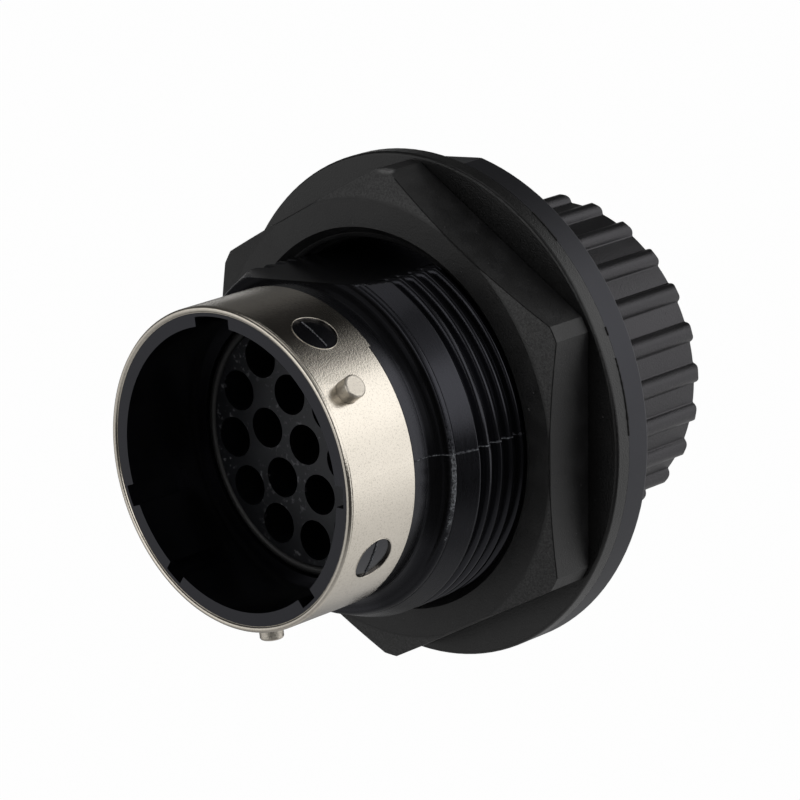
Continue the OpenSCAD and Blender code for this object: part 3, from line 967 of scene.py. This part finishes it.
# Lamp above the object: its place, what it looks at, its side and how bright its face is
LAMP_SPOT = Vector((0, 0.1, 0.9))
LAMP_AIM = Vector((0, 0.015, 0))
LAMP_SIDE = 0.7
LAMP_LEVEL = 0.4

# Camera fitted to the photograph: view angles in degrees, then millimetres, then its lens
CAMERA_AZIMUTH = 44.417
CAMERA_ELEVATION = 12.567
CAMERA_ROLL = -6.167
CAMERA_AIM = Vector((0, 12, 0))
CAMERA_DISTANCE = 311.917
CAMERA_TO_RIGHT = 4.843
CAMERA_UP = 2.606
SENSOR_WIDTH = 36
FOCAL_PIXELS = 3995.02
FRAME_PIXELS = 800
CLIP_START = 0.01


def bearing_of(b, x, y):
    """Degrees round the object, 0 towards the camera and 90 to its right."""
    return b.math("ARCTAN2", x + y, x - y) / RAD


def floor_finish():
    """White sweep, white to the camera; shiny surfaces see it with painted light and shade, each side at a
    level of its own.
    """
    material = bpy.data.materials.new("white_sweep")
    material.use_nodes = True
    material.node_tree.nodes.clear()
    b = Board(material.node_tree)
    path = b.node("ShaderNodeLightPath")
    camera = path.out("Is Camera Ray")
    seen = b.highest(camera * CAMERA_SHARE, path.out("Is Glossy Ray"), path.out("Is Transmission Ray"))
    x, y, _ = b.split(b.node("ShaderNodeTexCoord").out("Object"))
    bearing = bearing_of(b, x, y)
    away = b.math("SQRT", x * x + y * y)

    # Painted light and shade on the floor's glow: a level for each side, a painted shadow near the object
    # and a painted pool of light right under it
    behind = FLOOR_BEHIND * (0.2 + b.fade(away, *BEHIND_REACH) * 0.8)
    behind = behind * (1 - b.fade(bearing, *BEHIND_END) * 0.4)
    right = FLOOR_RIGHT - b.fade(bearing, *FLOOR_RIGHT_TO_BEHIND) * (FLOOR_RIGHT - behind)
    right = right * b.fade(bearing, *FLOOR_RIGHT_START)
    left = b.fade(bearing, *FLOOR_LEFT_START) * b.fade(bearing, *FLOOR_LEFT_END) * FLOOR_LEFT
    # Painted shadow: the glow is darker close to the object
    shaded = 0.5 + b.fade(away, *SHADE_REACH) * 0.5
    # Painted pool of light right under the object
    near = b.fade(away, *NEAR_REACH) * FLOOR_NEAR
    level = b.highest(b.highest(right, left, DARK) * shaded, near, camera)

    # The matt floor takes the object's shadow
    matt = b.node("ShaderNodeBsdfDiffuse", {}, {"Color": FLOOR_COLOUR})
    glow = b.node("ShaderNodeEmission", {}, {"Color": b.tint(level, BLACK, WHITE), "Strength": BACKDROP})
    both = b.node("ShaderNodeMixShader", {}, {0: seen, 1: matt, 2: glow})
    b.node("ShaderNodeOutputMaterial", {}, {"Surface": both})
    return material


def make_floor():
    corners = [(-1, -1), (1, -1), (1, 1), (-1, 1)]
    mesh = bpy.data.meshes.new("sweep")
    mesh.from_pydata([(x * FLOOR_HALF, y * FLOOR_HALF, FLOOR_Z) for x, y in corners], [], [(0, 1, 2, 3)])
    mesh.materials.append(floor_finish())
    floor = bpy.data.objects.new("sweep", mesh)
    bpy.context.scene.collection.objects.link(floor)


def make_world():
    """Bright screens at both sides of the object near the horizon, in a dim studio."""
    world = bpy.data.worlds.new("studio")
    bpy.context.scene.world = world
    world.use_nodes = True
    world.node_tree.nodes.clear()
    b = Board(world.node_tree)
    x, y, z = b.split(b.node("ShaderNodeTexCoord").out("Generated"))
    bearing = bearing_of(b, x, y)

    # Level of each part of the studio
    right = b.fade(bearing, *RIGHT_START) * b.fade(bearing, *RIGHT_END) * b.fade(z, *RIGHT_TOP)
    right = right * (0.82 + b.fade(z, *RIGHT_FOOT) * 0.18) * SCREEN_RIGHT
    left = b.fade(bearing, *LEFT_START) * b.fade(bearing, *LEFT_END) * b.fade(z, *LEFT_TOP)
    left = left * (1 - b.fade(bearing, *LEFT_FALL) * 0.72) * SCREEN_LEFT
    behind = b.fade(z, *REAR_TOP) * BEHIND + b.fade(z, *HORIZON_TOP) * HORIZON
    behind = behind * b.fade(abs(bearing), *REAR_START)
    high = b.fade(bearing, *RIGHT_START) * b.fade(bearing, *HIGH_END) * b.fade(z, *HIGH_TOP)
    high = high * HIGH_FRONT * (z > 0)
    corner = b.fade(z, *CORNER_FOOT) * b.fade(bearing, *CORNER_START)
    level = b.highest(right, left, behind, high, DARK - corner * DARK_CORNER)

    # White where the camera sees past the floor
    path = b.node("ShaderNodeLightPath")
    camera = b.highest(path.out("Is Camera Ray"), path.out("Is Transmission Ray"))
    strength = level + (BACKDROP - level) * camera
    sky = b.node("ShaderNodeBackground", {}, {"Color": WHITE, "Strength": strength})
    b.node("ShaderNodeOutputWorld", {}, {"Surface": sky})


def make_lamp():
    """Square lamp above the object; its power follows from how bright its face is."""
    lamp = bpy.data.lights.new("overhead", "AREA")
    lamp.shape = "SQUARE"
    lamp.size = LAMP_SIDE
    lamp.energy = LAMP_LEVEL * math.pi * LAMP_SIDE * LAMP_SIDE
    box = bpy.data.objects.new("overhead", lamp)
    bpy.context.scene.collection.objects.link(box)
    box.location = LAMP_SPOT
    box.rotation_euler = (LAMP_AIM - LAMP_SPOT).to_track_quat("-Z", "Y").to_euler()


def make_camera():
    """Camera at the photograph's viewing angle."""
    azimuth = CAMERA_AZIMUTH * RAD
    elevation = CAMERA_ELEVATION * RAD
    roll = CAMERA_ROLL * RAD
    towards = Vector((math.sin(azimuth), -math.cos(azimuth), 0))
    back = towards * math.cos(elevation) + Vector((0, 0, math.sin(elevation)))
    level = (-back).cross(Vector((0, 0, 1))).normalized()
    upright = level.cross(-back)
    right = math.cos(roll) * level + math.sin(roll) * upright
    up = math.cos(roll) * upright - math.sin(roll) * level
    spot = CAMERA_AIM + back * CAMERA_DISTANCE + right * CAMERA_TO_RIGHT + up * CAMERA_UP
    lens = bpy.data.cameras.new("camera")
    lens.sensor_width = SENSOR_WIDTH
    lens.lens = SENSOR_WIDTH * FOCAL_PIXELS / FRAME_PIXELS
    lens.clip_start = CLIP_START
    camera = bpy.data.objects.new("camera", lens)
    bpy.context.scene.collection.objects.link(camera)
    turn = Matrix((right, up, back)).transposed().to_4x4()
    camera.matrix_world = Matrix.Translation(spot * MM) @ turn
    bpy.context.scene.camera = camera


make_floor()
make_world()
make_lamp()
make_camera()
bpy.context.scene.view_settings.view_transform = "Standard"
